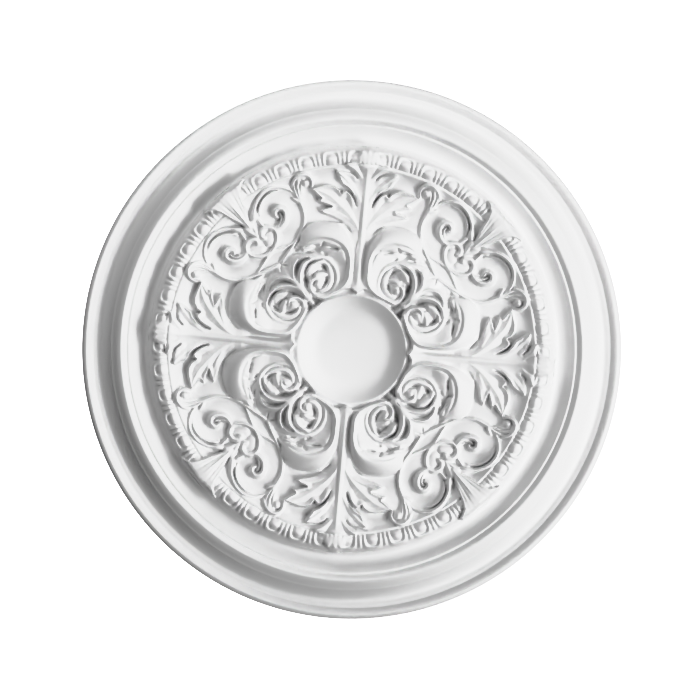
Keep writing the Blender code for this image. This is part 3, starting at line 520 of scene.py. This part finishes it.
# The fan on the diagonal: fluted leaves that stand up from the knot, laid over the band, with a
# keel down the middle one. Like the leaf's, its outline runs past its middle line.
FAN_OUTLINE = [
    (143, 148), (145.5, 153), (148.6, 160), (152.6, 169), (157.6, 178.6), (161, 186), (162.6, 193),
    (161.4, 200.6), (157, 207.5), (164, 206.8), (168.4, 202.6), (172.6, 198.6), (176, 196), (180.4, 190),
    (184.6, 184.6), (190, 180.4), (182, 172), (152, 141)]
FAN_FOOT = 292
FAN_FOOT_RISE = 10
FAN_RISE = 13.6
FAN_LENGTH = 42
FLUTE_ANGLE = 6.2
FLUTE_RISE = 1.3
KEEL_ANGLE = 9
KEEL_RISE = 2.6
FAN_FALL = 13


def fan(height, x, y):
    """The fan, rising along its length, and falling over the band's outer edge."""
    along = (x + y - FAN_FOOT) / math.sqrt(2)
    across = (y - x) / math.sqrt(2)
    within = inside(x, y, FAN_OUTLINE)
    turn = np.degrees(np.arctan2(across, np.maximum(along + 10, 1)))
    flutes = (FLUTE_RISE * np.abs(np.cos(turn * math.pi / FLUTE_ANGLE)) - 0.6) * ease(along / 14)
    keel = KEEL_RISE * np.clip(1 - np.abs(turn) / KEEL_ANGLE, 0, 1)
    fall = FAN_FALL * np.clip((np.hypot(x, y) - 254) / 9, 0, 1) ** 2
    surface = FAN_FOOT_RISE + FAN_RISE * np.clip(along / FAN_LENGTH, 0, 1) ** 0.9 + flutes + keel - fall
    laid = height + (np.maximum(surface, height) - height) * ease(within / 1.2)
    return np.where(within > 0, laid, height)


# The carved face as a whole. Each form is laid over those before it, as the layers of the real
# carving are, and the leaf lies on the ground that rises to the band.
LEAF_LIFT = 16.5
LEAF_EDGE = 0.6


def carved(x, y):
    """Height over the plain field."""
    r = np.hypot(x, y)
    u = np.minimum(np.abs(x), np.abs(y))
    v = np.maximum(np.abs(x), np.abs(y))
    height = plain_ground(r)
    band = egg_band(r, np.degrees(np.arctan2(u, v)))
    height = height + (band - height) * ease(r - BAND_START)
    ground = height.copy()
    body = leaf(u, v, np.clip(ground, 0, LEAF_LIFT))
    body = cup_and_volute(body, u, v)
    body = calyx_and_foliage(body, u, v)
    edge = inside(u, v, LEAF_OUTLINE)
    laid = height + (np.maximum(body, height + 0.2) - height) * ease((edge + LEAF_EDGE) / 1.8)
    height = np.where(edge > -LEAF_EDGE, laid, height)
    for valley in LOBE_VALLEYS:
        height = cut(height, u, v, valley, 0.8)
    height = pocket(height, u, v)
    height = scrolls(height, u, v, ground)
    return fan(height, u, v)


# The eighth as a fine mesh. Points under a millimetre apart take the carved height, softened as
# the mould and the paint soften it, and the mesh is then thinned where it is flat. Its rims have
# the turned pieces' points, so that all three join without a gap.
POINT_STEP = 0.8
RIM_CLEARANCE = 0.7 * POINT_STEP
SOFT_STEP = 0.6
SOFT_MARGIN = 8 * SOFT_STEP
SOFTNESS = 0.45
BROAD = 7.0
DEEPER = 0.3
TOP_HEIGHT = 50.9
TOP_ROUNDING = 2
EIGHTH_TRIANGLES = 18500
MIRROR_MERGE = 0.00002


def blurred(grid, width):
    """Blur both ways by a bell of this width in millimetres."""
    reach = int(3 * width / SOFT_STEP) + 1
    offsets = np.arange(-reach, reach + 1)
    kernel = np.exp(-0.5 * (offsets * SOFT_STEP / width) ** 2)
    kernel /= kernel.sum()
    for _ in range(2):
        grid = sum(k * np.roll(grid, o, axis=0) for k, o in zip(kernel, offsets)).T
    return grid


def softened_heights(reach):
    """The carved heights on a square grid: cut deeper, blurred a little, and held under the top."""
    low = -SOFT_MARGIN
    axis = np.arange(low, reach + SOFT_MARGIN, SOFT_STEP)
    x, y = np.meshgrid(axis, axis, indexing="ij")
    grid = carved(x, y)
    grid = blurred(grid + DEEPER * (grid - blurred(grid, BROAD)), SOFTNESS)
    top = TOP_HEIGHT - FIELD_HEIGHT
    rounded = top - TOP_ROUNDING * np.exp((top - TOP_ROUNDING - grid) / TOP_ROUNDING)
    return np.where(grid > top - TOP_ROUNDING, rounded, grid), low


def height_at(grid, low, x, y):
    """Height between the grid's points."""
    i = (np.asarray(x, float) - low) / SOFT_STEP
    j = (np.asarray(y, float) - low) / SOFT_STEP
    i0 = np.floor(i).astype(int)
    j0 = np.floor(j).astype(int)
    s = i - i0
    t = j - j0
    return ((grid[i0, j0] * (1 - s) + grid[i0 + 1, j0] * s) * (1 - t)
            + (grid[i0, j0 + 1] * (1 - s) + grid[i0 + 1, j0 + 1] * s) * t)


def arc(radius, count, start, stop):
    """Points on an arc, but for its two ends. Angles run from the Y axis."""
    turns = np.linspace(start, stop, count + 1)[1:-1]
    return [(radius * math.sin(turn), radius * math.cos(turn)) for turn in turns]


side_count = int((FOOT_RADIUS - CARVING_START) / POINT_STEP)
border = [(0.0, r) for r in np.linspace(CARVING_START, FOOT_RADIUS, side_count)]
border += arc(FOOT_RADIUS, OUTER_COLUMNS // 8, 0, math.pi / 4)
border += [(r, r) for r in np.linspace(FOOT_RADIUS, CARVING_START, side_count) / math.sqrt(2)]
border += arc(CARVING_START, DISH_COLUMNS // 8, math.pi / 4, 0)
axis = np.arange(POINT_STEP, FOOT_RADIUS, POINT_STEP)
grid_x, grid_y = np.meshgrid(axis, axis, indexing="ij")
grid_r = np.hypot(grid_x, grid_y)
free = (grid_x > RIM_CLEARANCE) & (grid_y - grid_x > POINT_STEP)
free &= (grid_r > CARVING_START + RIM_CLEARANCE) & (grid_r < FOOT_RADIUS - RIM_CLEARANCE)
flat_points = [Vector(point) for point in border + list(zip(grid_x[free], grid_y[free]))]
border_edges = [(i, (i + 1) % len(border)) for i in range(len(border))]
places, _, faces, *_ = delaunay_2d_cdt(flat_points, border_edges, [], 1, 1e-5)
places = np.array(places)
heights, lowest = softened_heights(FOOT_RADIUS)
z = FIELD_HEIGHT + height_at(heights, lowest, places[:, 0], places[:, 1])
r = np.hypot(places[:, 0], places[:, 1])
z[r < CARVING_START + 0.01] = START_HEIGHT
z[r > FOOT_RADIUS - 0.01] = FOOT_HEIGHT
mesh = bpy.data.meshes.new("carving")
mesh.from_pydata([(x * MM, y * MM, -h * MM) for (x, y), h in zip(places, z)], [], faces)
carving = bpy.data.objects.new("carving", mesh)
bpy.context.collection.objects.link(carving)
bpy.context.view_layer.objects.active = carving
carving.select_set(True)
inner_points = carving.vertex_groups.new(name="inner points")
inner_points.add(list(range(len(border), len(places))), 1.0, "REPLACE")
thin = carving.modifiers.new("thin", "DECIMATE")
thin.ratio = EIGHTH_TRIANGLES / len(faces)
thin.vertex_group = "inner points"
thin.vertex_group_factor = 1.0
bpy.ops.object.modifier_apply(modifier="thin")
diagonal = bpy.data.objects.new("diagonal", None)
diagonal.rotation_euler = (0, 0, -math.pi / 4)
bpy.context.collection.objects.link(diagonal)
for name, mirror_object, axes in [("across the diagonal", diagonal, (True, False, False)),
                                  ("to four quarters", None, (True, True, False))]:
    mirror = carving.modifiers.new(name, "MIRROR")
    mirror.mirror_object = mirror_object
    mirror.use_axis = axes
    mirror.merge_threshold = MIRROR_MERGE
    bpy.ops.object.modifier_apply(modifier=name)
bpy.data.objects.remove(diagonal)


# One casting: the carving, the mouldings and the dish are joined, merged along the rims where they
# meet, and closed with the dish's flat floor and the flat back, the side that lies on the ceiling.
SEAM_MERGE = 0.0001
SHARP_ANGLE = math.radians(50)


def select_open_edges():
    """Select only the open rims, whose edges have a single face."""
    bpy.ops.mesh.select_all(action="DESELECT")
    bpy.ops.mesh.select_non_manifold(extend=False, use_wire=False, use_multi_face=False,
                                     use_non_contiguous=False, use_verts=False)


mouldings.select_set(True)
dish.select_set(True)
bpy.context.view_layer.objects.active = carving
bpy.ops.object.join()
rose = carving
rose.name = "rose"
rose.vertex_groups.clear()
bpy.ops.object.mode_set(mode="EDIT")
bpy.ops.mesh.select_mode(type="VERT")
select_open_edges()
bpy.ops.mesh.remove_doubles(threshold=SEAM_MERGE)
bpy.ops.mesh.select_mode(type="EDGE")
select_open_edges()
bpy.ops.mesh.fill_holes(sides=0)
bpy.ops.mesh.select_all(action="SELECT")
bpy.ops.mesh.normals_make_consistent(inside=False)
bpy.ops.object.mode_set(mode="OBJECT")
bpy.ops.object.shade_smooth_by_angle(angle=SHARP_ANGLE)


# Its finish: a half-matt white primer, a little uneven in tone from place to place, with the fine
# grain of the moulded skin under it.
PAINT_DARKER = 0.79
PAINT_LIGHTER = 0.82
PAINT_ROUGHNESS = 0.5
PAINT_SPECULAR = 0.35
CLOUD_SCALE = 9.0
GRAIN_SCALE = 900.0
GRAIN_STRENGTH = 0.06
GRAIN_DEPTH = 0.0004

white = bpy.data.materials.new("white primed moulding")
white.use_nodes = True
nodes = white.node_tree.nodes
links = white.node_tree.links
shader = nodes["Principled BSDF"]
shader.inputs["Roughness"].default_value = PAINT_ROUGHNESS
shader.inputs["Specular IOR Level"].default_value = PAINT_SPECULAR
where = nodes.new("ShaderNodeTexCoord")
clouds = nodes.new("ShaderNodeTexNoise")
clouds.inputs["Scale"].default_value = CLOUD_SCALE
clouds.inputs["Detail"].default_value = 3.0
tone = nodes.new("ShaderNodeMix")
tone.data_type = "RGBA"
tone.inputs["A"].default_value = (PAINT_DARKER, PAINT_DARKER, PAINT_DARKER, 1)
tone.inputs["B"].default_value = (PAINT_LIGHTER, PAINT_LIGHTER, PAINT_LIGHTER, 1)
grain = nodes.new("ShaderNodeTexNoise")
grain.inputs["Scale"].default_value = GRAIN_SCALE
grain.inputs["Detail"].default_value = 2.0
dent = nodes.new("ShaderNodeBump")
dent.inputs["Strength"].default_value = GRAIN_STRENGTH
dent.inputs["Distance"].default_value = GRAIN_DEPTH
links.new(where.outputs["Object"], clouds.inputs["Vector"])
links.new(where.outputs["Object"], grain.inputs["Vector"])
links.new(clouds.outputs["Fac"], tone.inputs["Factor"])
links.new(tone.outputs["Result"], shader.inputs["Base Color"])
links.new(grain.outputs["Fac"], dent.inputs["Height"])
links.new(dent.outputs["Normal"], shader.inputs["Normal"])
rose.data.materials.clear()
rose.data.materials.append(white)
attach(rose, "root")
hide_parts("ceiling_rose")


# The studio: a pale floor far below, behind the camera, soft lamps on the right, two small near
# ones at the top, and two over the rose's back. Each has its turn round the rose as the camera sees
# it, its lift towards the camera, its distance and size in metres, and its power.
FLOOR_DROP = 12.6
FLOOR_SIZE = 30
LAMPS = [
    ("low window", 330, 48, 4.0, 1.4, 70.0), ("window", 0, 48, 4.0, 1.4, 60.0),
    ("raking", 330, 30, 4.0, 1.4, 18.0), ("sill", 30, 12, 4.0, 1.4, 14.0),
    ("wall above", 120, 30, 1.2, 0.6, 3.9), ("top", 90, 30, 1.2, 0.6, 1.2),
    ("over the back", 300, -50, 4.0, 2.0, 130.0), ("behind the back", 120, -40, 4.0, 2.0, 85.0)]
ROOM_LIGHT = 0.01
ROOM_SEEN = 3.0

bpy.ops.mesh.primitive_plane_add(size=FLOOR_SIZE, location=(0, 0, -FLOOR_DROP))
floor = bpy.context.object
floor.name = "floor"
floor_paint = bpy.data.materials.new("pale floor")
floor_paint.use_nodes = True
floor_paint.node_tree.nodes["Principled BSDF"].inputs["Base Color"].default_value = (0.8, 0.8, 0.8, 1)
floor_paint.node_tree.nodes["Principled BSDF"].inputs["Roughness"].default_value = 0.7
floor.data.materials.append(floor_paint)

view = camera.rotation_euler.to_matrix()
right_of_view = view @ Vector((1, 0, 0))
top_of_view = view @ Vector((0, 1, 0))
for name, around, up, away, size, power in LAMPS:
    lamp_data = bpy.data.lights.new(name, "AREA")
    lamp_data.shape = "DISK"
    lamp_data.size = size
    lamp_data.energy = power
    lamp = bpy.data.objects.new(name, lamp_data)
    turn = math.radians(around)
    lift = math.radians(up)
    to_camera = Vector((0, 0, -1)) * math.sin(lift)
    way = to_camera + math.cos(lift) * (math.cos(turn) * right_of_view + math.sin(turn) * top_of_view)
    lamp.location = way * away
    lamp.rotation_euler = way.to_track_quat("Z", "Y").to_euler()
    bpy.context.collection.objects.link(lamp)

# The white room round it. It shows pure white behind the rose, and lights it hardly at all.
room = bpy.data.worlds.new("white room")
bpy.context.scene.world = room
room.use_nodes = True
room_nodes = room.node_tree.nodes
room_links = room.node_tree.links
background = room_nodes["Background"]
background.inputs["Color"].default_value = (1, 1, 1, 1)
background.inputs["Strength"].default_value = ROOM_LIGHT
seen = room_nodes.new("ShaderNodeBackground")
seen.inputs["Color"].default_value = (1, 1, 1, 1)
seen.inputs["Strength"].default_value = ROOM_SEEN
path = room_nodes.new("ShaderNodeLightPath")
either = room_nodes.new("ShaderNodeMixShader")
room_links.new(path.outputs["Is Camera Ray"], either.inputs["Fac"])
room_links.new(background.outputs["Background"], either.inputs[1])
room_links.new(seen.outputs["Background"], either.inputs[2])
room_links.new(either.outputs["Shader"], room_nodes["World Output"].inputs["Surface"])

# The picture's tones: the middle greys a little darker, the light ones lifted, the whites soft.
WHITE_TONE = 0.92
TONES = [(0.27, 0.25), (0.5, 0.43), (0.6, 0.625), (0.68, 0.76), (0.78, 0.845), (0.9, 0.89)]
picture = bpy.context.scene.view_settings
picture.view_transform = "Standard"
picture.use_curve_mapping = True
picture.curve_mapping.extend = "EXTRAPOLATED"
tone_curve = picture.curve_mapping.curves[3].points
tone_curve[0].location = (0, 0)
tone_curve[-1].location = (1, WHITE_TONE)
for given, shown in TONES:
    tone_curve.new(given, shown)
picture.curve_mapping.update()
